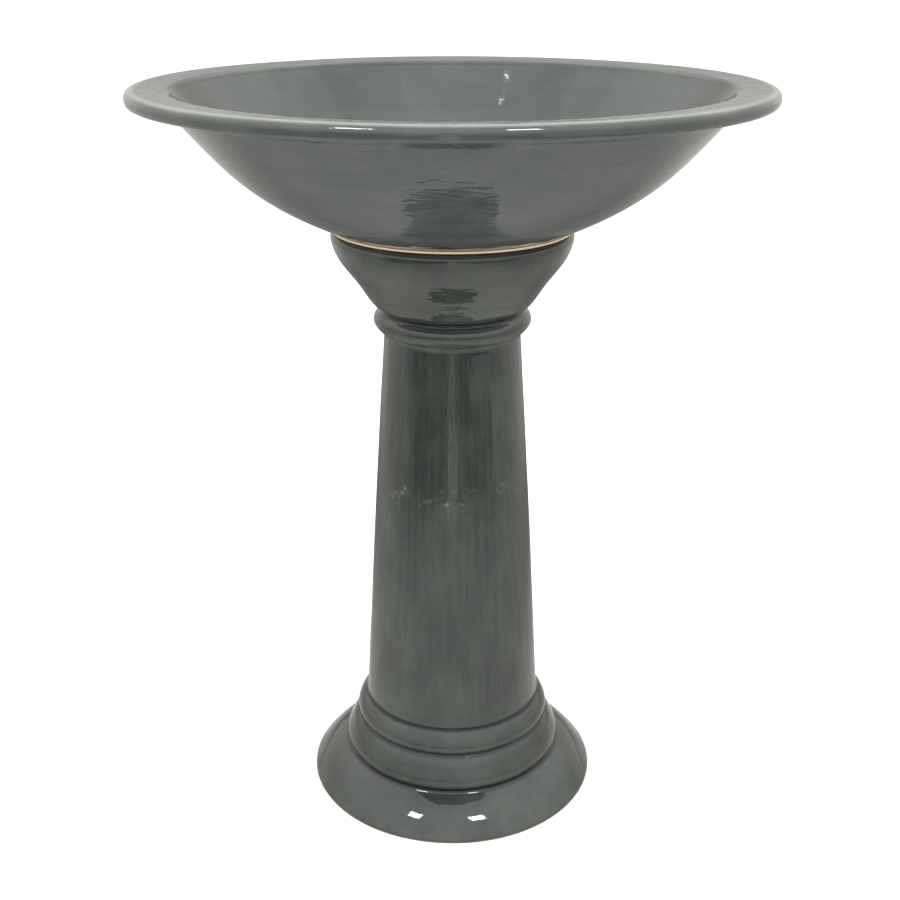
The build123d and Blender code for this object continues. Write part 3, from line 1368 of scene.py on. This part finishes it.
@dataclass
class Studio:
    """Pale floor, soft light and the camera.

    Attributes:
        floor_radius: Radius of the round floor.
        floor_colour: Colour of its paint.
        zenith: The light from overhead.
        far_wall: The light from behind the object.
        near_wall: The light from behind the camera.
        side_wall: The light from the left and right.
        backdrop: What the camera sees past the floor.
        eye: Where the camera stands.
        pitch: How far it looks down, in degrees.
        lens: Its focal length, in millimetres.
    """

    floor_radius: float = 40.0
    floor_colour: Colour = (0.86, 0.86, 0.85, 1.0)
    zenith: Colour = (2.08, 2.12, 2.06, 1.0)
    far_wall: Colour = (0.60, 0.61, 0.57, 1.0)
    near_wall: Colour = (0.80, 0.92, 1.12, 1.0)
    side_wall: Colour = (1.05, 1.03, 0.95, 1.0)
    backdrop: Colour = (1.0, 1.0, 1.0, 1.0)
    eye: tuple[float, float, float] = (-0.002, -1.0264, 0.7358)
    pitch: float = 22.01
    lens: float = 50.19

    def build(self) -> None:
        """Lay the floor, hang the lights and set the camera."""
        self.lay_floor()
        self.set_air()
        self.light()
        self.place_camera()

    def lay_floor(self) -> None:
        """Lay a plain pale floor on the ground, and the ground that gloss sees in its stead."""
        mesh = bmesh.new()
        bmesh.ops.create_circle(mesh, cap_ends=True, segments=96, radius=self.floor_radius)
        data = bpy.data.meshes.new("floor")
        mesh.to_mesh(data)
        mesh.free()
        kit = ShaderKit("floor_paint")
        data.materials.append(kit.surface(Base_Color=self.floor_colour, Roughness=0.75))
        floor = bpy.data.objects.new("floor", data)
        bpy.context.scene.collection.objects.link(floor)
        floor.visible_glossy = False
        GroundCard("ground_card", (0.0, 0.0, -0.001), (60.0, 60.0), (0.24, 0.24, 0.23, 1.0)).hang()

    def set_air(self) -> None:
        """Set the even light from all round: bright overhead, dimmer towards the walls."""
        world = bpy.data.worlds.new("studio_air")
        world.use_nodes = True
        kit = ShaderKit.on(world.node_tree)
        towards = kit.node("ShaderNodeTexCoord", {}, {}, "Generated")
        across, deep, up = kit.axes(towards)
        walls = kit.blend(deep.stepped(-0.80, 0.10), self.near_wall, self.far_wall)
        walls = kit.blend(abs(across).stepped(0.12, 0.60), walls, self.side_wall)
        glow = kit.blend((up - deep.at_least(0.0) * 0.2).stepped(0.06, 0.66), walls, self.zenith)
        seen = kit.node("ShaderNodeLightPath", {}, {}, "Is Camera Ray")
        glow = kit.blend(seen, glow, self.backdrop)
        back = kit.node("ShaderNodeBackground", {}, {"Color": glow, "Strength": 1.0})
        kit.raw("ShaderNodeOutputWorld", {}, {"Surface": back})
        bpy.context.scene.world = world

    def light(self) -> None:
        """Hang the softboxes and the cards."""
        aim = (0.0, 0.0, 0.35)
        Softbox("key_left", (-1.10, -1.35, 2.3), aim, (0.42, 0.30), 16.0).hang()
        Softbox("key_right", (0.75, -1.45, 2.3), aim, (0.42, 0.30), 16.0).hang()
        CeilingCard("ceiling_card", (0.04, 0.10, 2.6), (2.2, 2.2), (2.55, 2.85, 2.76, 1.0), True).hang()
        Card("lamp_card_left", (-0.47, -0.170, 2.56), (0.045, 0.006), (50.0, 50.0, 50.0, 1.0)).hang()
        Card("lamp_card_right", (0.425, -0.192, 2.56), (0.030, 0.005), (6.0, 6.0, 6.0, 1.0)).hang()

    def place_camera(self) -> None:
        """Set the camera, level and looking down along +Y."""
        camera = bpy.data.cameras.new("camera")
        camera.sensor_width = 36.0
        camera.lens = self.lens
        held = bpy.data.objects.new("camera", camera)
        held.location = self.eye
        held.rotation_euler = (math.radians(90 - self.pitch), 0.0, 0.0)
        bpy.context.scene.collection.objects.link(held)
        bpy.context.scene.camera = held
        bpy.context.scene.view_settings.view_transform = "Standard"


def main() -> None:
    """Build the studio and the pieces in order."""
    logging.basicConfig(level=logging.INFO, format="%(name)s: %(message)s")
    builders: Sequence[Studio | Pedestal | Bowl] = (Studio(), Pedestal(), Bowl())
    for builder in builders:
        builder.build()
        LOG.info("built %s", type(builder).__name__)


if __name__ == "__main__":
    main()
